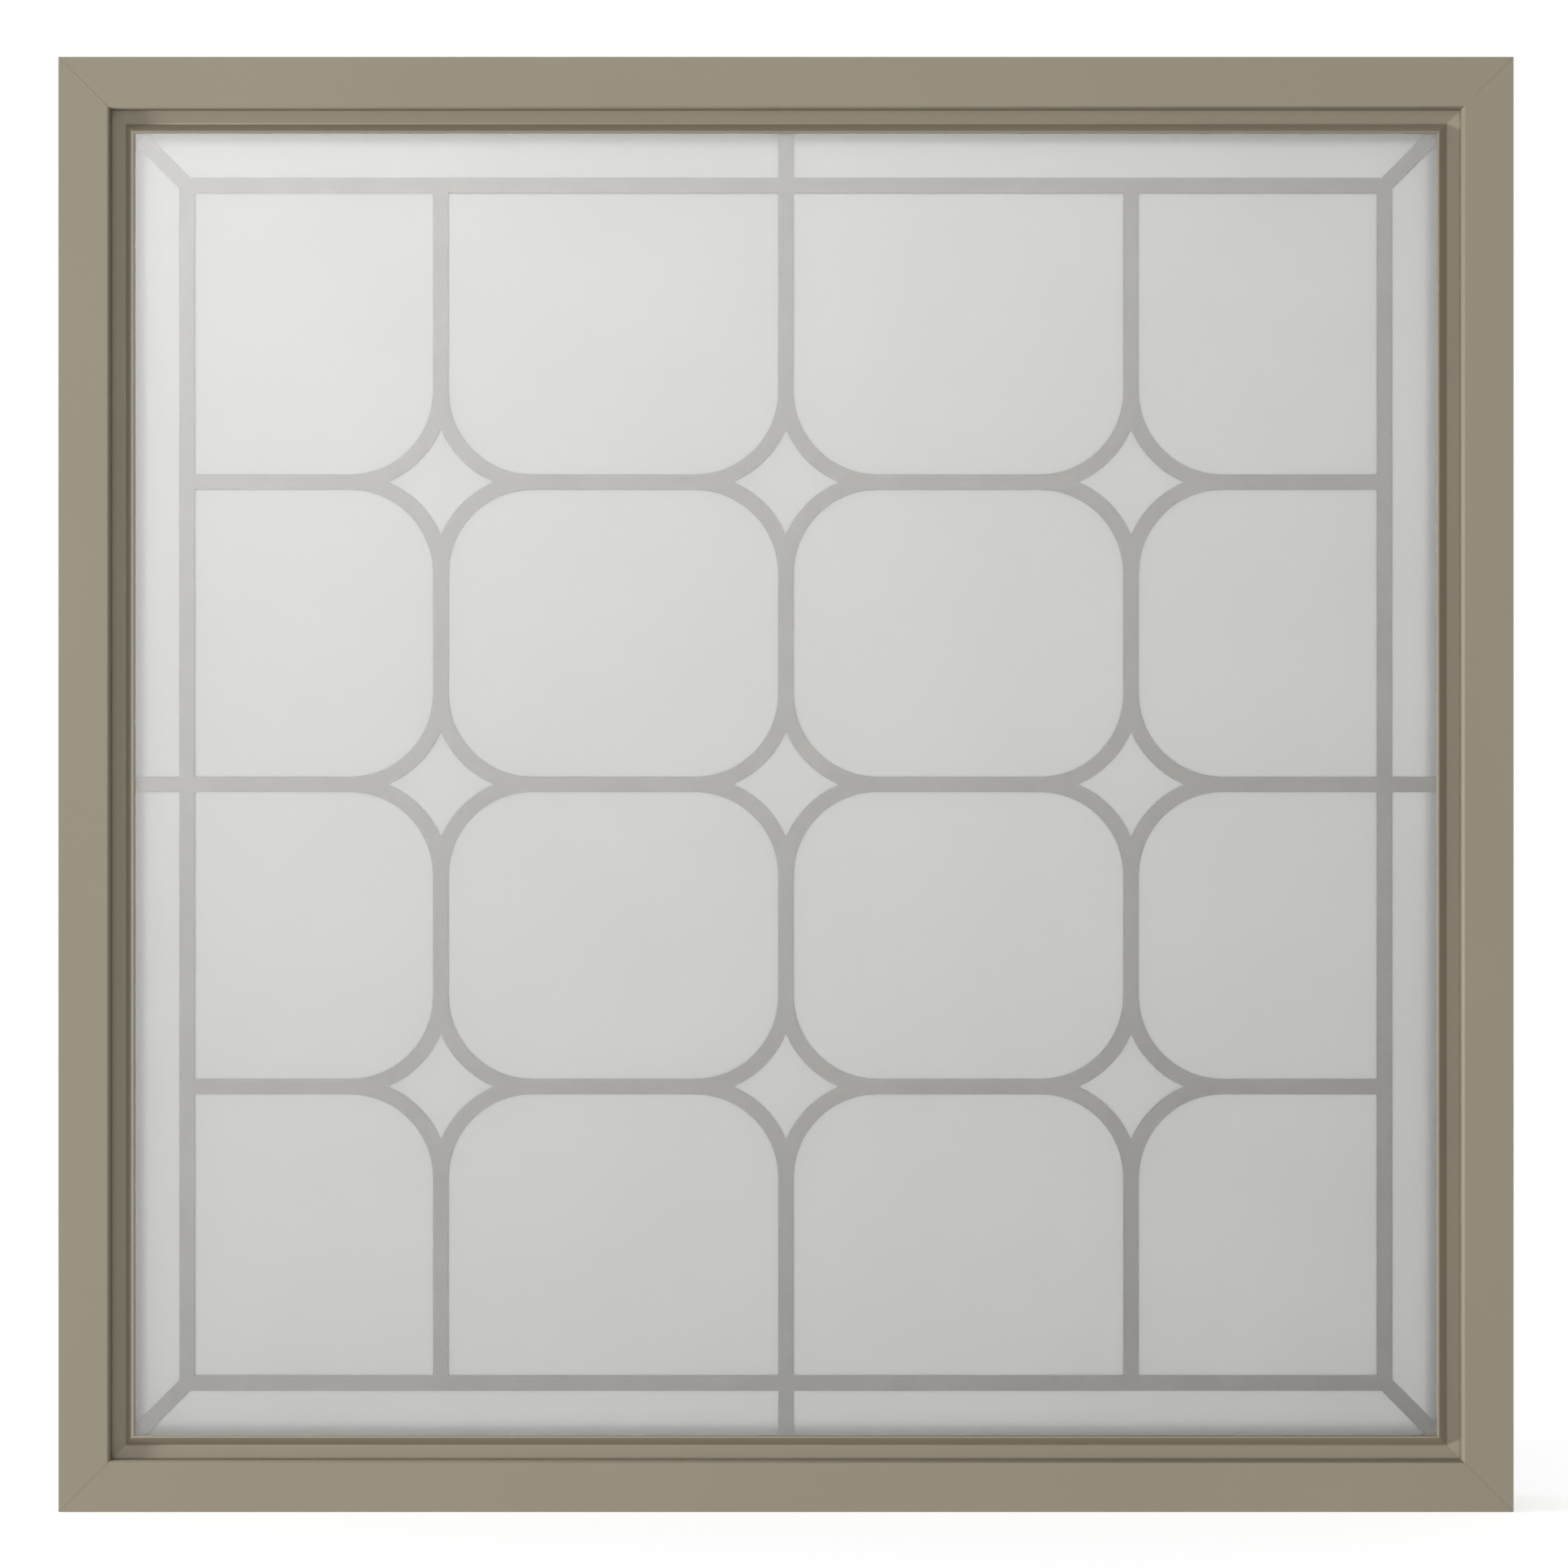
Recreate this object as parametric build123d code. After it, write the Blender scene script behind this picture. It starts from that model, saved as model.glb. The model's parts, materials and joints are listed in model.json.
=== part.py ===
from build123d import *
import math
import os

# Overall size of the unit
WIDTH = 901.7
HEIGHT = 901.7
DEPTH = 82.6

# Frame section: u runs inward from the outer edge, v runs back from the front
FACE = 32.0
FACE_ROUND = 2.2
FRAME_WALL = 2.0
FRAME_WEB = 1.5
WELD_GROOVE = 0.15
SIGHT = 47.2
GLASS_FRONT = 20.0

# Inner leg that the glass is bedded against, with its cove on the room side
LEG_LAND = 5.5
COVE_FOOT = 37.5
ROOM_ROUND = 3.0
ROOM_WEB_AT = 65.0

# Snap leg of the bead and the groove that receives it
SNAP_GAP = 0.2
SNAP_LEG = 1.6
SNAP_AT = 15.0
SNAP_DEPTH = 3.9
SNAP_BARB = 0.7
SNAP_BARB_LENGTH = 1.2

# Accessory groove in the outer side
TRIM_GROOVE_AT = 34.5
TRIM_GROOVE_WIDTH = 3.0
TRIM_GROOVE_DEPTH = 4.0

# Snap-in glazing bead: a gentle slope down to a valley, then a steep rise to a flat lip
BEAD_START = 7.6
BEAD_FALL = 1.8
BEAD_GAP = 0.05
VALLEY_ROUND = 1.5
NOSE_WIDTH = 6.9
NOSE_RISE = 6.0
NOSE_ROUND = 0.6
LIP = 1.7
LIP_UNDERCUT = 2.4
BEAD_WALL = 1.6
GASKET = 1.4
GASKET_COVER = 5.0
GASKET_INSET = 0.5

# Sealed unit: two clear panes with the leaded panel between them
PANE = 3.2
CAVITY = 6.9
EDGE_GAP = 3.0
TAPE = 1.6
TAPE_COVER = 9.0
TAPE_INSET = 0.7
SPACER_WIDTH = 8.0
SPACER_INSET = 1.5
SPACER_WALL = 0.5
SPACER_SHOULDER = 1.6
BLOCK_LENGTH = 100.0
BLOCK_INSET = 0.6

# Came: strips of H section that hold the lites
CAME_FACE = 9.5
CAME_FLANGE = 0.8
CAME_HEART = 1.5
LITE = 3.2
LITE_PLAY = 0.2
LITE_EDGE_PLAY = 0.4

# Pattern of the leaded panel
BORDER_STRIP = 29.0
COLUMN_PITCH = 216.0
ROW_PITCH = 189.2
STAR_RADIUS = 57.0
STAR_SEAT = 6.0

# How finely arcs inside the came are drawn, and how near two points count as one
HIDDEN_ARC_SIDES = 16
SAME_POINT = 0.01

# Screw holes through the jambs, covered by the bead
SCREW_RADIUS = 2.1
SCREW_SPACING = 600.0

# Places worked out from the sizes above
CENTRE = HEIGHT / 2
FRONT = -DEPTH / 2
FLOOR = FACE - FRAME_WALL
BEAD_FOOT = FACE + BEAD_GAP
BEAD_BACK = GLASS_FRONT - GASKET
SNAP_END = FACE - SNAP_DEPTH
SNAP_FLOOR = SNAP_END - SNAP_GAP
SNAP_FRONT = SNAP_AT - SNAP_BARB - SNAP_GAP - FRAME_WALL
SCREW_AT = (BEAD_START + SNAP_FRONT) / 2
PANEL_THICK = LITE + 2 * (LITE_PLAY + CAME_FLANGE)
UNIT_THICK = 2 * (PANE + CAVITY) + PANEL_THICK
UNIT_BACK = GLASS_FRONT + UNIT_THICK
LEG_FRONT = UNIT_BACK + TAPE
GLASS_EDGE = FACE + EDGE_GAP
GLASS_WIDTH = WIDTH - 2 * GLASS_EDGE
GLASS_HEIGHT = HEIGHT - 2 * GLASS_EDGE
PANEL_MIDDLE = GLASS_FRONT + UNIT_THICK / 2
HALF_FACE = CAME_FACE / 2
HALF_HEART = CAME_HEART / 2
BORDER_X = WIDTH / 2 - SIGHT - BORDER_STRIP
BORDER_Z = HEIGHT / 2 - SIGHT - BORDER_STRIP
COLUMN_LINES = [-BORDER_X, -COLUMN_PITCH, 0, COLUMN_PITCH, BORDER_X]
ROW_LINES = [BORDER_Z, ROW_PITCH, 0, -ROW_PITCH, -BORDER_Z]
STAR_COLUMNS = COLUMN_LINES[1:-1]
STAR_ROWS = ROW_LINES[1:-1]
SIDES = ("head", "sill", "left", "right")


# Sections and the rails made from them
def block(u0, v0, u1, v1):
    return Polygon((u0, v0), (u1, v0), (u1, v1), (u0, v1), align=None)


def near(face, u, v):
    return [p for p in face.vertices() if math.hypot(p.X - u, p.Y - v) < SAME_POINT]


def rail(section, length):
    end = Plane(origin=(length / 2, FRONT, 0), x_dir=(0, 0, 1), z_dir=(-1, 0, 0))
    bar = extrude(end * section, amount=length)
    half, reach = length / 2, SIGHT + EDGE_GAP
    mitre = Polygon((-half, 0), (half, 0), (half - reach, reach), (reach - half, reach), align=None)
    return bar & extrude(Plane.XZ * mitre, amount=DEPTH, both=True)


def to_side(side, bar):
    places = {
        "sill": Pos(0, 0, 0),
        "head": Pos(0, 0, HEIGHT) * Rot(0, 180, 0),
        "left": Pos(-WIDTH / 2, 0, CENTRE) * Rot(0, 90, 0),
        "right": Pos(WIDTH / 2, 0, CENTRE) * Rot(0, -90, 0),
    }
    return places[side] * bar


def on_side(side, section):
    return to_side(side, rail(section, WIDTH if side in ("head", "sill") else HEIGHT))


# Frame: one multi-chamber section, mitred and welded at the corners
def leg_outline():
    cove = SIGHT - COVE_FOOT
    cove_start = LEG_FRONT + LEG_LAND
    top = Polyline((FLOOR, LEG_FRONT), (SIGHT, LEG_FRONT), (SIGHT, cove_start))
    curve = JernArc((SIGHT, cove_start), (-1, 0), cove, -90)
    back = Polyline((COVE_FOOT, cove_start + cove), (COVE_FOOT, DEPTH), (FLOOR, DEPTH), (FLOOR, LEG_FRONT))
    return make_face([*top.edges(), *curve.edges(), *back.edges()])


def snap_groove():
    barb_end = SNAP_END + SNAP_BARB_LENGTH + SNAP_GAP
    slot = block(SNAP_FLOOR, SNAP_AT - SNAP_GAP, FACE, SNAP_AT + SNAP_LEG + SNAP_GAP)
    return slot + block(SNAP_FLOOR, SNAP_AT - SNAP_BARB - SNAP_GAP, barb_end, SNAP_AT)


def chambers():
    snap_back = SNAP_AT + SNAP_LEG + SNAP_GAP + FRAME_WALL
    groove_front = TRIM_GROOVE_AT - TRIM_GROOVE_WIDTH / 2
    groove_back = TRIM_GROOVE_AT + TRIM_GROOVE_WIDTH / 2
    front = block(FRAME_WALL, FRAME_WALL, FLOOR, SNAP_FRONT)
    under_snap = block(FRAME_WALL, FRAME_WALL, SNAP_FLOOR - FRAME_WALL, snap_back - FRAME_WEB)
    return [
        front + under_snap,
        block(FRAME_WALL, snap_back, FLOOR, groove_front - FRAME_WEB),
        block(TRIM_GROOVE_DEPTH + FRAME_WEB, groove_front, FLOOR, groove_back),
        block(FRAME_WALL, groove_back + FRAME_WEB, FLOOR, LEG_FRONT),
        block(FRAME_WALL, LEG_FRONT + FRAME_WEB, FLOOR, ROOM_WEB_AT - FRAME_WEB / 2),
        block(FRAME_WALL, ROOM_WEB_AT + FRAME_WEB / 2, FLOOR, DEPTH - FRAME_WALL),
        offset(leg_outline(), amount=-FRAME_WALL, kind=Kind.INTERSECTION),
    ]


def frame_section():
    section = block(0, 0, FACE, DEPTH) + leg_outline()
    section = fillet(near(section, FACE, 0), FACE_ROUND)
    section = fillet(near(section, COVE_FOOT, DEPTH), ROOM_ROUND)
    groove_front = TRIM_GROOVE_AT - TRIM_GROOVE_WIDTH / 2
    section -= block(0, groove_front, TRIM_GROOVE_DEPTH, groove_front + TRIM_GROOVE_WIDTH)
    section -= snap_groove()
    for chamber in chambers():
        section -= chamber
    return section


def weld_grooves(length):
    grooves = []
    side = WELD_GROOVE * math.sqrt(2)
    bar = Rot(45, 0, 0) * Box(2 * SIGHT * math.sqrt(2), side, side)
    for end in (-1, 1):
        for y in (FRONT, -FRONT):
            grooves.append(Pos(end * length / 2, y, 0) * Rot(0, end * 45, 0) * bar)
    return grooves


def frame_member(side):
    length = WIDTH if side in ("head", "sill") else HEIGHT
    member = rail(frame_section(), length)
    return to_side(side, member - weld_grooves(length))


def drilled(jamb, sign):
    holes = [
        Pos(sign * WIDTH / 2, FRONT + SCREW_AT, CENTRE + end * SCREW_SPACING / 2)
        * Rot(0, 90, 0)
        * Cylinder(SCREW_RADIUS, 2 * (FACE + FRAME_WALL))
        for end in (-1, 1)
    ]
    return jamb - holes


# Glazing bead: hollow body with a slope, valley and raised lip, and a barbed snap leg
def bead_section():
    valley_u = SIGHT - NOSE_WIDTH
    valley_v = BEAD_START + BEAD_FALL
    nose_v = valley_v - NOSE_RISE
    body = Polygon(
        (BEAD_FOOT, BEAD_START),
        (valley_u, valley_v),
        (SIGHT - LIP, nose_v),
        (SIGHT, nose_v),
        (SIGHT - LIP_UNDERCUT, BEAD_BACK),
        (BEAD_FOOT, BEAD_BACK),
        align=None,
    )
    hollow = offset(body, amount=-BEAD_WALL, kind=Kind.INTERSECTION)
    body = fillet(near(body, valley_u, valley_v), VALLEY_ROUND)
    body = fillet(near(body, SIGHT - LIP, nose_v) + near(body, SIGHT, nose_v), NOSE_ROUND)
    leg = block(SNAP_END, SNAP_AT, BEAD_FOOT + BEAD_WALL, SNAP_AT + SNAP_LEG)
    barb = block(SNAP_END, SNAP_AT - SNAP_BARB, SNAP_END + SNAP_BARB_LENGTH, SNAP_AT)
    return body + leg + barb - hollow


def gasket_section():
    bulb = GASKET / 2
    edge = SIGHT - LIP_UNDERCUT - GASKET_INSET - bulb
    return block(edge - GASKET_COVER, BEAD_BACK, edge, GLASS_FRONT) + Pos(edge, BEAD_BACK + bulb) * Circle(bulb)


def tape_section():
    edge = SIGHT - TAPE_INSET
    return block(edge - TAPE_COVER, UNIT_BACK, edge, LEG_FRONT)


def spacer_section(v):
    outer = GLASS_EDGE + SPACER_INSET
    bar = block(outer, v, outer + SPACER_WIDTH, v + CAVITY)
    bar = chamfer(near(bar, outer, v) + near(bar, outer, v + CAVITY), SPACER_SHOULDER)
    return bar - offset(bar, amount=-SPACER_WALL, kind=Kind.INTERSECTION)


# Sealed unit
def pane(v):
    return Pos(0, FRONT + v + PANE / 2, CENTRE) * Box(GLASS_WIDTH, PANE, GLASS_HEIGHT)


def setting_block(sign):
    thick = UNIT_THICK - 2 * BLOCK_INSET
    y = FRONT + GLASS_FRONT + UNIT_THICK / 2
    return Pos(sign * GLASS_WIDTH / 4, y, FACE + EDGE_GAP / 2) * Box(BLOCK_LENGTH, thick, EDGE_GAP)


# Leaded panel: every opening is drawn for a given half line width
def disc(radius, hidden):
    return RegularPolygon(radius, HIDDEN_ARC_SIDES) if hidden else Circle(radius)


def cell(column, row, half, hidden=False):
    x0, x1 = COLUMN_LINES[column], COLUMN_LINES[column + 1]
    z1, z0 = ROW_LINES[row], ROW_LINES[row + 1]
    shape = Pos((x0 + x1) / 2, (z0 + z1) / 2) * Rectangle(x1 - x0 - 2 * half, z1 - z0 - 2 * half)
    for x, right in ((x0, 1), (x1, -1)):
        for z, up in ((z0, 1), (z1, -1)):
            if x in STAR_COLUMNS and z in STAR_ROWS:
                corner = Pos(x, z) * block(0, 0, right * STAR_RADIUS, up * STAR_RADIUS)
                centre = Pos(x + right * STAR_RADIUS, z + up * STAR_RADIUS)
                shape -= corner - centre * disc(STAR_RADIUS - half, hidden)
    return shape


def star_tip(half):
    return STAR_RADIUS - math.sqrt(2 * STAR_RADIUS * half + half * half)


def star(x, z, half, reach, hidden=False):
    shape = Rectangle(2 * reach, 2 * reach)
    for across in (-1, 1):
        for up in (-1, 1):
            shape -= Pos(across * STAR_RADIUS, up * STAR_RADIUS) * disc(STAR_RADIUS + half, hidden)
    return Pos(x, z) * shape


def border_lite(side, end, half, rim):
    slant = half * math.sqrt(2)
    upright = side in ("left", "right")
    span, rise = (BORDER_Z, BORDER_X) if upright else (BORDER_X, BORDER_Z)
    outer = (GLASS_WIDTH if upright else GLASS_HEIGHT) / 2 - rim
    inner = rise + half
    way = -1 if side in ("left", "sill") else 1
    corners = [(half, inner), (span + half - slant, inner), (span + outer - rise - slant, outer), (half, outer)]
    if upright:
        return Polygon(*[(way * rise_at, end * along) for along, rise_at in corners], align=None)
    return Polygon(*[(end * along, way * rise_at) for along, rise_at in corners], align=None)


def came_outline(half, rim, hidden=False):
    outline = Rectangle(GLASS_WIDTH, GLASS_HEIGHT)
    for row in range(len(ROW_LINES) - 1):
        for column in range(len(COLUMN_LINES) - 1):
            outline -= cell(column, row, half, hidden)
    for x in STAR_COLUMNS:
        for z in STAR_ROWS:
            outline -= star(x, z, half, STAR_RADIUS, hidden)
    for side in SIDES:
        for end in (-1, 1):
            outline -= border_lite(side, end, half, rim)
    return outline


def upright_plate(outline, v, thick):
    middle = Plane(origin=(0, FRONT + v + thick / 2, CENTRE), x_dir=(1, 0, 0), z_dir=(0, -1, 0))
    return extrude(middle * outline, amount=thick / 2, both=True)


def came_lattice():
    front = PANEL_MIDDLE - PANEL_THICK / 2
    flange = came_outline(HALF_FACE, CAME_FACE)
    heart = came_outline(HALF_HEART, CAME_HEART, hidden=True)
    lattice = upright_plate(heart, front, PANEL_THICK)
    lattice += upright_plate(flange, front, CAME_FLANGE)
    lattice += upright_plate(flange, front + PANEL_THICK - CAME_FLANGE, CAME_FLANGE)
    return lattice


def lites(outlines):
    return Compound(children=[upright_plate(o, PANEL_MIDDLE - LITE / 2, LITE).solid() for o in outlines])


def cell_lites(row):
    half = HALF_HEART + LITE_EDGE_PLAY
    return lites([cell(column, row, half, hidden=True) for column in range(len(COLUMN_LINES) - 1)])


def star_lites():
    half = HALF_HEART + LITE_EDGE_PLAY
    reach = star_tip(HALF_FACE) + STAR_SEAT
    return lites([star(x, z, half, reach, hidden=True) for x in STAR_COLUMNS for z in STAR_ROWS])


def border_lites(side):
    half, rim = HALF_HEART + LITE_EDGE_PLAY, CAME_HEART + LITE_EDGE_PLAY
    return lites([border_lite(side, end, half, rim) for end in (-1, 1)])


# The nodes
def build():
    parts = {}
    bead, gasket, tape = bead_section(), gasket_section(), tape_section()
    names = {"head": "frame_head", "sill": "frame_sill", "left": "left_jamb", "right": "right_jamb"}
    cavities = (GLASS_FRONT + PANE, PANEL_MIDDLE + PANEL_THICK / 2)
    for side in SIDES:
        parts[names[side]] = frame_member(side)
        parts[f"glazing_bead_{side}"] = on_side(side, bead)
        parts[f"bead_gasket_{side}"] = on_side(side, gasket)
        parts[f"glazing_tape_{side}"] = on_side(side, tape)
        bars = [on_side(side, spacer_section(v)).solid() for v in cavities]
        parts[f"spacer_{side}"] = Compound(children=bars)
        parts[f"border_lites_{side}"] = border_lites(side)
    parts["left_jamb"] = drilled(parts["left_jamb"], -1)
    parts["right_jamb"] = drilled(parts["right_jamb"], 1)
    parts["outer_pane"] = pane(GLASS_FRONT)
    parts["inner_pane"] = pane(UNIT_BACK - PANE)
    parts["setting_block_left"] = setting_block(-1)
    parts["setting_block_right"] = setting_block(1)
    parts["came_lattice"] = came_lattice()
    for row, name in enumerate(("top", "upper", "lower", "bottom")):
        parts[f"{name}_row_lites"] = cell_lites(row)
    parts["star_lites"] = star_lites()
    return parts


os.makedirs("parts", exist_ok=True)
for name, piece in build().items():
    export_step(piece, f"parts/{name}.step")
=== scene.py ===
import json
import math

import bpy
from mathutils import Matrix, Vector

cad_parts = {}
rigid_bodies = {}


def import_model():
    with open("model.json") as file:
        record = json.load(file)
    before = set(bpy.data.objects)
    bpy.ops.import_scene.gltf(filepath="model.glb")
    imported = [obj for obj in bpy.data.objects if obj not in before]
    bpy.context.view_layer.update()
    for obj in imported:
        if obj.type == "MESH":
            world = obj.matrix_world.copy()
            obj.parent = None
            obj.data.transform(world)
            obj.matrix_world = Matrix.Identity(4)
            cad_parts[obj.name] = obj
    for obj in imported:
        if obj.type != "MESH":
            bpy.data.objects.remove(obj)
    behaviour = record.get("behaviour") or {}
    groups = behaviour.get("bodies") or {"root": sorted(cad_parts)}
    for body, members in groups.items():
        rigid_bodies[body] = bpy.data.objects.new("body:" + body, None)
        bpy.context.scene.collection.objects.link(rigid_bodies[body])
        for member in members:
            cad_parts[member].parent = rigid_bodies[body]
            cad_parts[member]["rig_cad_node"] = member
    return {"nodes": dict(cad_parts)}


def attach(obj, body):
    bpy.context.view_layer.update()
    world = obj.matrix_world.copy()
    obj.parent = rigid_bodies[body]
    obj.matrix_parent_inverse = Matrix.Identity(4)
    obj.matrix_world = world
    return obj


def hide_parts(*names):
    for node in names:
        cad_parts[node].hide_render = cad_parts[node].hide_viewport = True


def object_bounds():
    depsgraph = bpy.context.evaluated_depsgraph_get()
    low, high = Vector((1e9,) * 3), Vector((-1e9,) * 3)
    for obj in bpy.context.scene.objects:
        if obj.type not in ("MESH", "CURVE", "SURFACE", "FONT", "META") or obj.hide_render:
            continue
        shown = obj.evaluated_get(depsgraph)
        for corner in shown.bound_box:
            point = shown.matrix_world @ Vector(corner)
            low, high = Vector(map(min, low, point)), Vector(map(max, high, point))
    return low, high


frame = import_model()
cad_low, cad_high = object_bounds()

# Sides of the window, the frame member on each, and the lites inside the border line
SIDES = ("head", "sill", "left", "right")
MEMBERS = {"head": "frame_head", "sill": "frame_sill", "left": "left_jamb", "right": "right_jamb"}
LITE_NODES = ("top_row_lites", "upper_row_lites", "lower_row_lites", "bottom_row_lites", "star_lites")

# Place of the outer frame in the photograph, in its own pixels
PHOTO_SIDE = 1932
PHOTO_LEFT, PHOTO_RIGHT = 71, 1866
PHOTO_TOP, PHOTO_BOTTOM = 71, 1862

# Camera: distance in metres, sensor in millimetres
CAMERA_DISTANCE = 3.0
SENSOR = 36.0

# The window in metres, as it comes with the frame
WIDTH = cad_high.x - cad_low.x
HEIGHT = cad_high.z - cad_low.z
CENTRE = HEIGHT / 2
FRONT = cad_low.y

# Rounding of edges in metres
FRAME_ROUND = 0.0005
BEAD_ROUND = 0.0003
CAME_ROUND = 0.0003
ROUND_STEPS = 2

# Distance in metres within which points are merged, and angles in degrees that sort the edges
MERGE = 0.000002
FLAT_ANGLE = 0.5
SHARP_ANGLE = 60
SMOOTH_ANGLE = 40

# Edges that stay sharp: how near a mitre they lie, and how far in from the outer edge a bead is seated
MITRE_REACH = 0.00003
SEAT_FROM, SEAT_TO = 0.0318, 0.0323

# Finishes: colours are linear
VINYL = (0.300, 0.262, 0.190)
VINYL_SHADE = (0.288, 0.251, 0.182)
VINYL_FLECK = (0.250, 0.220, 0.163)
CAME_GREY = (0.262, 0.243, 0.216)
CAME_DARK = (0.137, 0.127, 0.113)
LITE_PALE = (0.92, 0.92, 0.89)
LITE_CLOUD = (0.90, 0.90, 0.87)
# Border lites: paler than the field lites, painted light that offsets the shade the frame and beads cast
# near them
BORDER_PALE_PAINTED_LIGHT = (0.96, 0.96, 0.93)
BORDER_CLOUD_PAINTED_LIGHT = (0.94, 0.94, 0.91)
CLEAR = (0.99, 0.995, 0.99)
GASKET_BLACK = (0.022, 0.021, 0.020)
TAPE_GREY = (0.055, 0.055, 0.056)
SPACER_GREY = (0.60, 0.60, 0.58)
SPACER_DULL = 0.82
BLOCK_BLACK = (0.030, 0.030, 0.031)
WHITE = (1.0, 1.0, 1.0)

# Grain of the finishes: scale of the noise, in waves to the metre
VINYL_CLOUDS = 7.0
VINYL_LINES = 420.0
VINYL_GRAIN = 1500.0
CAME_PATCHES = 28.0
CAME_GRAIN = 620.0
LITE_HAZE = 9.0
SPACER_HAZE = 60.0
SPACER_LINES = 900.0
GASKET_GRAIN = 900.0
FOAM_GRAIN = 2200.0
BLOCK_GRAIN = 700.0

# Share that a noise keeps along the way a piece was drawn or rolled
DRAWN = 0.02

# Levels of the room's soft light from each way
LEFT_LEVEL, RIGHT_LEVEL = 0.9, 0.3
UPPER_LEVEL, LOWER_LEVEL = 0.35, 0.8
OUTER_LEVEL, ROOM_LEVEL = 0.65, 0.5

# Key lamp: degrees to the left, metres and watts
KEY_ANGLE = 74
KEY_DISTANCE = 6.0
KEY_SIZE = 1.1
KEY_POWER = 300

# Large soft glow: degrees to the left, up, and from its middle to its rim, then its fall and strength
GLOW_TURN = 15
GLOW_RISE = 15
GLOW_REACH = 36
GLOW_FALL = 1.5
GLOW_SHINE = 7.5

# White background, and the floor in metres, with the distances over which it turns plain white
SHOWN_WHITE = 1.0
FLOOR_SIDE = 12.0
FLOOR_DROP = 0.0005
FLOOR_WHITE = 0.86
FLOOR_LIFT = 0.6
FADE_FROM, FADE_TO = 0.7, 2.0


# Camera
def add_camera():
    scale = (WIDTH / (PHOTO_RIGHT - PHOTO_LEFT) + HEIGHT / (PHOTO_BOTTOM - PHOTO_TOP)) / 2
    right_by = ((PHOTO_LEFT + PHOTO_RIGHT) / 2 - PHOTO_SIDE / 2) * scale
    down_by = ((PHOTO_TOP + PHOTO_BOTTOM) / 2 - PHOTO_SIDE / 2) * scale
    place = (-right_by, FRONT - CAMERA_DISTANCE, CENTRE + down_by)
    bpy.ops.object.camera_add(location=place, rotation=(math.radians(90), 0, 0))
    camera = bpy.context.active_object
    camera.data.sensor_width = SENSOR
    camera.data.lens = SENSOR * CAMERA_DISTANCE / (PHOTO_SIDE * scale)
    bpy.context.scene.camera = camera


# Small helpers for the node trees
class Finish:
    """A material with its surface shader, and short ways to add nodes that feed it."""

    def __init__(self, name, colour, **values):
        self.material = bpy.data.materials.new(name)
        self.material.use_nodes = True
        self.tree = self.material.node_tree
        self.shader = self.tree.nodes["Principled BSDF"]
        self.output = self.tree.nodes["Material Output"]
        self.shader.inputs["Base Color"].default_value = (*colour, 1)
        for socket, value in values.items():
            self.shader.inputs[socket.replace("_", " ")].default_value = value
        self.points = self.add("ShaderNodeTexCoord").outputs["Object"]

    def add(self, kind, **inputs):
        node = self.tree.nodes.new(kind)
        for name, value in inputs.items():
            self.feed(node.inputs[name.replace("_", " ")], value)
        return node

    def feed(self, socket, value):
        if isinstance(value, bpy.types.NodeSocket):
            self.tree.links.new(value, socket)
        elif isinstance(value, tuple) and len(value) == 3 and socket.type == "RGBA":
            socket.default_value = (*value, 1)
        else:
            socket.default_value = value

    def set(self, name, value):
        self.feed(self.shader.inputs[name], value)

    def math(self, operation, *values):
        node = self.tree.nodes.new("ShaderNodeMath")
        node.operation = operation
        for socket, value in zip(node.inputs, values):
            self.feed(socket, value)
        return node.outputs[0]

    def noise(self, scale, detail=3.0, roughness=0.55, stretch=(1, 1, 1)):
        place = self.add("ShaderNodeMapping", Vector=self.points, Scale=stretch)
        noise = self.add(
            "ShaderNodeTexNoise", Vector=place.outputs[0], Scale=scale, Detail=detail, Roughness=roughness
        )
        return noise.outputs[0]

    def between(self, value, low, high, to_low=0.0, to_high=1.0):
        ramp = self.add(
            "ShaderNodeMapRange", Value=value, From_Min=low, From_Max=high, To_Min=to_low, To_Max=to_high
        )
        return ramp.outputs[0]

    def blend(self, share, first, second):
        mix = self.tree.nodes.new("ShaderNodeMix")
        mix.data_type = "RGBA"
        self.feed(mix.inputs[0], share)
        self.feed(mix.inputs[6], first)
        self.feed(mix.inputs[7], second)
        return mix.outputs[2]

    def bump(self, height, strength, distance, under=None):
        node = self.add("ShaderNodeBump", Height=height, Strength=strength, Distance=distance)
        if under is not None:
            self.feed(node.inputs["Normal"], under)
        return node.outputs[0]

    def surface(self, kind, first, second, share=None):
        """Send two shaders, mixed or added, to the surface, and give back the node that joins them."""
        join = self.tree.nodes.new(kind)
        ways_in = list(join.inputs)
        if share is not None:
            self.feed(ways_in.pop(0), share)
        for socket, shader in zip(ways_in, (first, second)):
            self.tree.links.new(shader.outputs[0], socket)
        self.tree.links.new(join.outputs[0], self.output.inputs["Surface"])
        return join


# Vinyl: a fine grain and faint lines along the extrusion
def vinyl(name, stretch):
    finish = Finish(name, VINYL, Roughness=0.55, IOR=1.52)
    cloud = finish.between(finish.noise(VINYL_CLOUDS, 2.0), 0.35, 0.65)
    grain = finish.noise(VINYL_GRAIN, 2.0)
    lines = finish.noise(VINYL_LINES, 2.0, stretch=stretch)
    tone = finish.blend(cloud, VINYL, VINYL_SHADE)
    flecks = finish.between(grain, 0.25, 0.9, 0.0, 0.25)
    drawn = finish.bump(lines, 0.10, 0.0002)
    finish.set("Base Color", finish.blend(flecks, tone, VINYL_FLECK))
    finish.set("Roughness", finish.between(grain, 0.2, 0.8, 0.5, 0.62))
    finish.set("Normal", finish.bump(grain, 0.18, 0.00012, drawn))
    return finish.material


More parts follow.
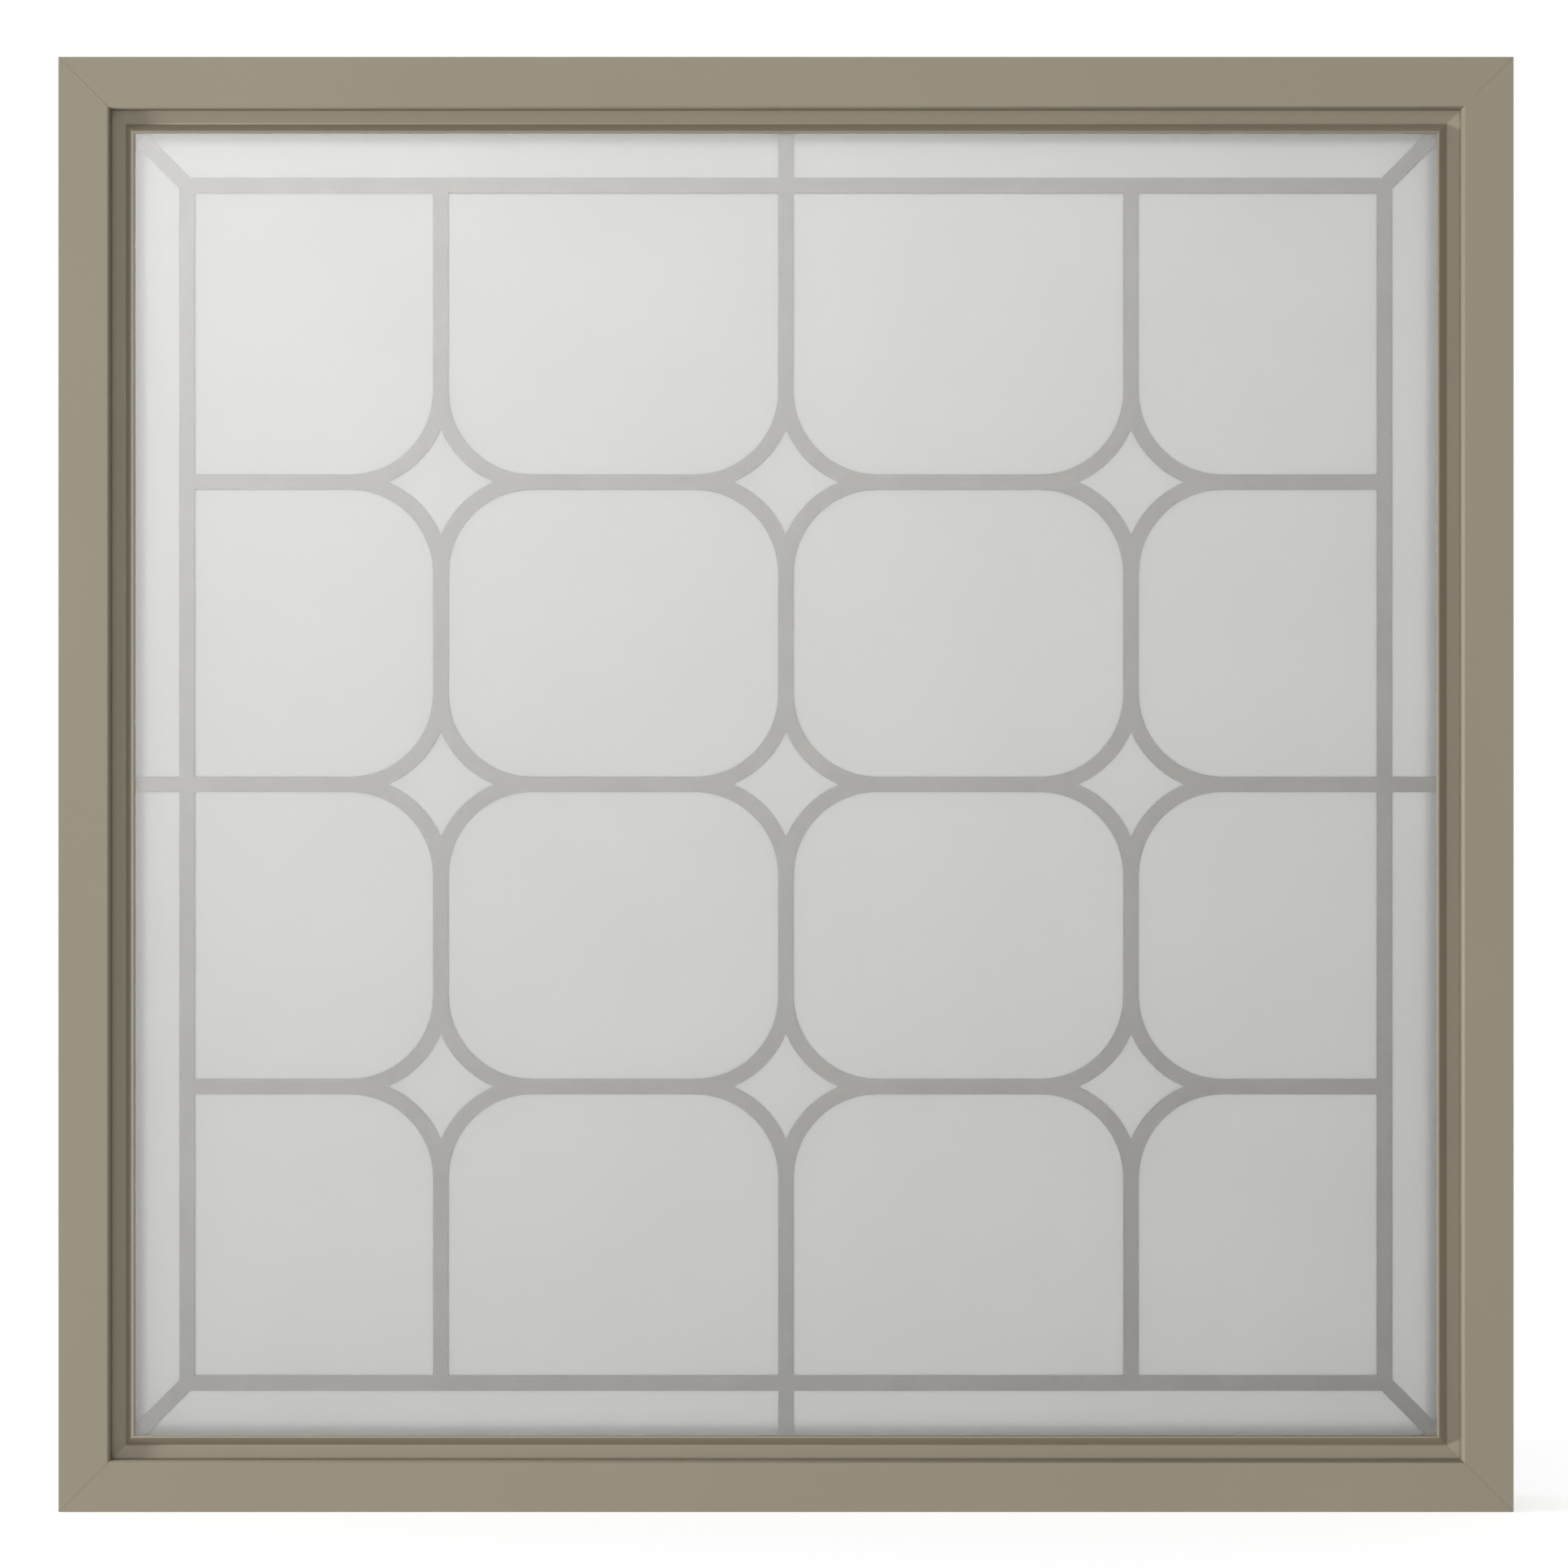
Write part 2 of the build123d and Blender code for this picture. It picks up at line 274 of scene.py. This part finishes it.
# Came: satin metal with a coarse grain, duller in patches
def came_metal():
    finish = Finish("came_metal", CAME_GREY, Metallic=0.25, Roughness=0.4)
    grain = finish.noise(CAME_GRAIN, 4.0, 0.65)
    patches = finish.between(finish.noise(CAME_PATCHES, 3.0), 0.3, 0.7)
    dulled = finish.blend(finish.math("MULTIPLY", patches, 0.35), CAME_GREY, CAME_DARK)
    specks = finish.between(grain, 0.42, 0.66, 0.0, 0.55)
    finish.set("Base Color", finish.blend(specks, dulled, CAME_DARK))
    finish.set("Roughness", finish.between(grain, 0.3, 0.7, 0.3, 0.5))
    finish.set("Normal", finish.bump(grain, 0.35, 0.0003))
    return finish.material


# Lites: pale satin glass with a very soft cloud in its tone and its sheen; the border lites are made paler
# still, painted light that offsets the shade the frame casts near them
def obscure_glass(name, pale, clouded):
    finish = Finish(name, pale, Roughness=0.45, IOR=1.5, Transmission_Weight=0.5)
    cloud = finish.between(finish.noise(LITE_HAZE, 3.0), 0.3, 0.7)
    finish.set("Base Color", finish.blend(cloud, pale, clouded))
    finish.set("Roughness", finish.between(cloud, 0.0, 1.0, 0.42, 0.48))
    return finish.material


# Clear panes: glass that lets light through to what is behind it
def clear_glass():
    finish = Finish("clear_glass", CLEAR, Roughness=0.0, IOR=1.52, Transmission_Weight=1.0)
    shadow = finish.add("ShaderNodeLightPath").outputs["Is Shadow Ray"]
    open_way = finish.add("ShaderNodeBsdfTransparent", Color=CLEAR)
    finish.surface("ShaderNodeMixShader", finish.shader, open_way, shadow)
    return finish.material


# Gasket, glazing tape and setting blocks: dull skins with a grain
def rubber(name, colour, pale, scale, depth):
    finish = Finish(name, colour, Roughness=0.7)
    grain = finish.noise(scale, 3.0)
    finish.set("Base Color", finish.blend(finish.between(grain, 0.4, 0.8), colour, pale))
    finish.set("Roughness", finish.between(grain, 0.2, 0.8, 0.55, 0.85))
    finish.set("Normal", finish.bump(grain, 0.4, depth))
    return finish.material


# Spacer: mill-finish bar, rolled lengthways, with a faint haze
def spacer_metal(name, stretch):
    finish = Finish(name, SPACER_GREY, Metallic=1.0, Roughness=0.35)
    lines = finish.noise(SPACER_LINES, 2.0, stretch=stretch)
    haze = finish.noise(SPACER_HAZE, 3.0)
    dull = tuple(SPACER_DULL * part for part in SPACER_GREY)
    finish.set("Base Color", finish.blend(lines, SPACER_GREY, dull))
    finish.set("Roughness", finish.between(haze, 0.3, 0.7, 0.28, 0.44))
    finish.set("Normal", finish.bump(lines, 0.2, 0.0001))
    return finish.material


# Pieces
def only(piece):
    bpy.ops.object.select_all(action="DESELECT")
    piece.select_set(True)
    bpy.context.view_layer.objects.active = piece


def inward(point):
    """How far a point lies in from the outer edge of the frame."""
    return min(WIDTH / 2 - abs(point.x), CENTRE - abs(point.z - CENTRE))


def stays_sharp(ends):
    """True for an edge in a mitre, where two members meet, or where a bead is seated on the frame."""
    in_mitre = all(abs(abs(point.x) - abs(point.z - CENTRE)) < MITRE_REACH for point in ends)
    on_seat = all(SEAT_FROM < inward(point) < SEAT_TO for point in ends)
    return in_mitre or on_seat


def softened(node, name, width, material):
    """A copy of a node with smooth arcs and rounded edges, as drawn plastic and rolled metal have them."""
    only(frame["nodes"][node])
    bpy.ops.object.duplicate()
    piece = bpy.context.active_object
    piece.name = name
    del piece["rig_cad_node"]
    bpy.ops.object.mode_set(mode="EDIT")
    bpy.ops.mesh.select_all(action="SELECT")
    bpy.ops.mesh.remove_doubles(threshold=MERGE)
    bpy.ops.mesh.dissolve_limited(angle_limit=math.radians(FLAT_ANGLE))
    bpy.ops.mesh.select_all(action="DESELECT")
    bpy.ops.mesh.edges_select_sharp(sharpness=math.radians(SHARP_ANGLE))
    bpy.ops.object.mode_set(mode="OBJECT")
    points = [vertex.co for vertex in piece.data.vertices]
    for edge in piece.data.edges:
        if edge.select and stays_sharp([points[corner] for corner in edge.vertices]):
            edge.select = False
    bpy.ops.object.mode_set(mode="EDIT")
    bpy.ops.mesh.bevel(offset=width, segments=ROUND_STEPS, affect="EDGES", clamp_overlap=True)
    bpy.ops.object.mode_set(mode="OBJECT")
    bpy.ops.object.shade_smooth_by_angle(angle=math.radians(SMOOTH_ANGLE))
    evening = piece.modifiers.new("flat_faces", "WEIGHTED_NORMAL")
    evening.weight = 100
    evening.keep_sharp = True
    bpy.ops.object.modifier_apply(modifier=evening.name)
    paint(piece, material)
    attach(piece, "root")
    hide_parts(node)
    return piece


def paint(piece, material):
    piece.data.materials.clear()
    piece.data.materials.append(material)


def dress_node(node, material):
    paint(frame["nodes"][node], material)


def leave_out_of_glass(piece):
    """Keep a piece out of what glass mirrors and lets through, so that no dark band runs beside it."""
    piece.visible_glossy = False
    piece.visible_transmission = False


def build_window():
    """Dress every node, and give back the frame members and beads."""
    bpy.context.tool_settings.mesh_select_mode = (False, True, False)
    drawn_along = {"level": (DRAWN, 1, 1), "upright": (1, 1, DRAWN)}
    vinyls = {way: vinyl(f"vinyl_{way}", stretch) for way, stretch in drawn_along.items()}
    bars = {way: spacer_metal(f"spacer_{way}", stretch) for way, stretch in drawn_along.items()}
    gasket = rubber("gasket_rubber", GASKET_BLACK, TAPE_GREY, GASKET_GRAIN, 0.0001)
    tape = rubber("glazing_foam", TAPE_GREY, GASKET_BLACK, FOAM_GRAIN, 0.0002)
    block = rubber("block_rubber", BLOCK_BLACK, TAPE_GREY, BLOCK_GRAIN, 0.0001)
    glass, came = clear_glass(), came_metal()
    satin = obscure_glass("obscure_glass", LITE_PALE, LITE_CLOUD)
    # Border lites get the paler colour, painted light against the shade near the frame
    border = obscure_glass("border_glass_painted_light", BORDER_PALE_PAINTED_LIGHT, BORDER_CLOUD_PAINTED_LIGHT)
    framework = []
    for side in SIDES:
        way = "level" if side in ("head", "sill") else "upright"
        member, bead = MEMBERS[side], f"glazing_bead_{side}"
        framework.append(softened(member, f"{member}_vinyl", FRAME_ROUND, vinyls[way]))
        framework.append(softened(bead, f"{bead}_vinyl", BEAD_ROUND, vinyls[way]))
        leave_out_of_glass(framework[-1])
        dress_node(f"bead_gasket_{side}", gasket)
        dress_node(f"glazing_tape_{side}", tape)
        dress_node(f"spacer_{side}", bars[way])
        dress_node(f"border_lites_{side}", border)
    for node in LITE_NODES:
        dress_node(node, satin)
    for node in ("outer_pane", "inner_pane"):
        dress_node(node, glass)
    for node in ("setting_block_left", "setting_block_right"):
        dress_node(node, block)
    softened("came_lattice", "came_lattice_metal", CAME_ROUND, came)
    return framework


# Floor, lamp and world
def floor_paper():
    """Pale paper that keeps the window's shadow and looks plain white to the camera further off."""
    finish = Finish("floor_paper", (FLOOR_WHITE,) * 3, Roughness=0.9)
    away = finish.add("ShaderNodeVectorMath", Vector=finish.points)
    away.operation = "LENGTH"
    far = finish.between(away.outputs["Value"], FADE_FROM, FADE_TO)
    seen = finish.add("ShaderNodeLightPath").outputs["Is Camera Ray"]
    lift = finish.math("MULTIPLY", seen, FLOOR_LIFT)
    lifted = finish.add("ShaderNodeEmission", Color=WHITE, Strength=lift)
    plain = finish.add("ShaderNodeEmission", Color=WHITE, Strength=SHOWN_WHITE)
    near = finish.surface("ShaderNodeAddShader", finish.shader, lifted)
    finish.surface("ShaderNodeMixShader", near, plain, finish.math("MULTIPLY", seen, far))
    return finish.material


def add_floor():
    bpy.ops.mesh.primitive_plane_add(size=FLOOR_SIDE, location=(0, 0, cad_low.z - FLOOR_DROP))
    floor = bpy.context.active_object
    floor.name = "floor"
    paint(floor, floor_paper())
    floor.visible_glossy = False
    floor.visible_transmission = False
    floor.visible_diffuse = False
    return floor


def light_world():
    """White to the camera, soft levels to matt surfaces, and to glass a large glow up to the left."""
    world = bpy.data.worlds.new("studio")
    bpy.context.scene.world = world
    world.use_nodes = True
    tree = world.node_tree

    def math_node(operation, *values):
        node = tree.nodes.new("ShaderNodeMath")
        node.operation = operation
        for socket, value in zip(node.inputs, values):
            if isinstance(value, bpy.types.NodeSocket):
                tree.links.new(value, socket)
            else:
                socket.default_value = value
        return node.outputs[0]

    def mixed(share, first, second):
        return math_node("ADD", first, math_node("MULTIPLY", share, math_node("SUBTRACT", second, first)))

    look = tree.nodes.new("ShaderNodeTexCoord").outputs["Generated"]
    parts = tree.nodes.new("ShaderNodeSeparateXYZ")
    tree.links.new(look, parts.inputs[0])
    ways = ((LEFT_LEVEL, RIGHT_LEVEL), (OUTER_LEVEL, ROOM_LEVEL), (LOWER_LEVEL, UPPER_LEVEL))
    soft = 0.0
    for along, (low_level, high_level) in zip(parts.outputs, ways):
        above = math_node("GREATER_THAN", along, 0.0)
        level = math_node("ADD", low_level, math_node("MULTIPLY", above, high_level - low_level))
        share = math_node("MULTIPLY", along, along)
        soft = math_node("ADD", soft, math_node("MULTIPLY", share, level))

    turn, rise, reach = (math.radians(angle) for angle in (GLOW_TURN, GLOW_RISE, GLOW_REACH))
    towards = (-math.sin(turn) * math.cos(rise), -math.cos(turn) * math.cos(rise), math.sin(rise))
    dot = tree.nodes.new("ShaderNodeVectorMath")
    dot.operation = "DOT_PRODUCT"
    tree.links.new(look, dot.inputs[0])
    dot.inputs[1].default_value = towards
    off = math_node("ARCCOSINE", math_node("MINIMUM", dot.outputs["Value"], 1.0))
    near = math_node("MAXIMUM", math_node("SUBTRACT", 1.0, math_node("DIVIDE", off, reach)), 0.0)
    glow = math_node("POWER", near, GLOW_FALL)
    shiny = math_node("ADD", SHOWN_WHITE, math_node("MULTIPLY", glow, GLOW_SHINE))

    path = tree.nodes.new("ShaderNodeLightPath").outputs
    scattered = math_node("MINIMUM", path["Diffuse Depth"], 1.0)
    through_glass = math_node("MAXIMUM", path["Is Glossy Ray"], path["Is Transmission Ray"])
    mirrored = math_node("MULTIPLY", math_node("SUBTRACT", 1.0, scattered), through_glass)
    lit = mixed(mirrored, soft, shiny)
    shown = mixed(path["Is Camera Ray"], lit, SHOWN_WHITE)
    tree.links.new(shown, tree.nodes["Background"].inputs["Strength"])
    tree.nodes["Background"].inputs["Color"].default_value = (*WHITE, 1)


def add_key_lamp(shone_on):
    """A lamp far to the left for the given pieces alone, so no bead throws a hard shadow on the lites."""
    angle = math.radians(KEY_ANGLE)
    off = Vector((-math.sin(angle), -math.cos(angle), 0)) * KEY_DISTANCE
    turned = (-off).to_track_quat("-Z", "Y").to_euler()
    bpy.ops.object.light_add(type="AREA", location=Vector((0, 0, CENTRE)) + off, rotation=turned)
    lamp = bpy.context.active_object
    lamp.name = "key_lamp"
    lamp.data.shape = "DISK"
    lamp.data.size = KEY_SIZE
    lamp.data.energy = KEY_POWER
    lamp.visible_camera = False
    key_lit = bpy.data.collections.new("key_lit")
    for piece in shone_on:
        key_lit.objects.link(piece)
    lamp.light_linking.receiver_collection = key_lit


add_camera()
framework = build_window()
floor = add_floor()
add_key_lamp(framework + [floor])
light_world()
bpy.context.scene.view_settings.view_transform = "Standard"
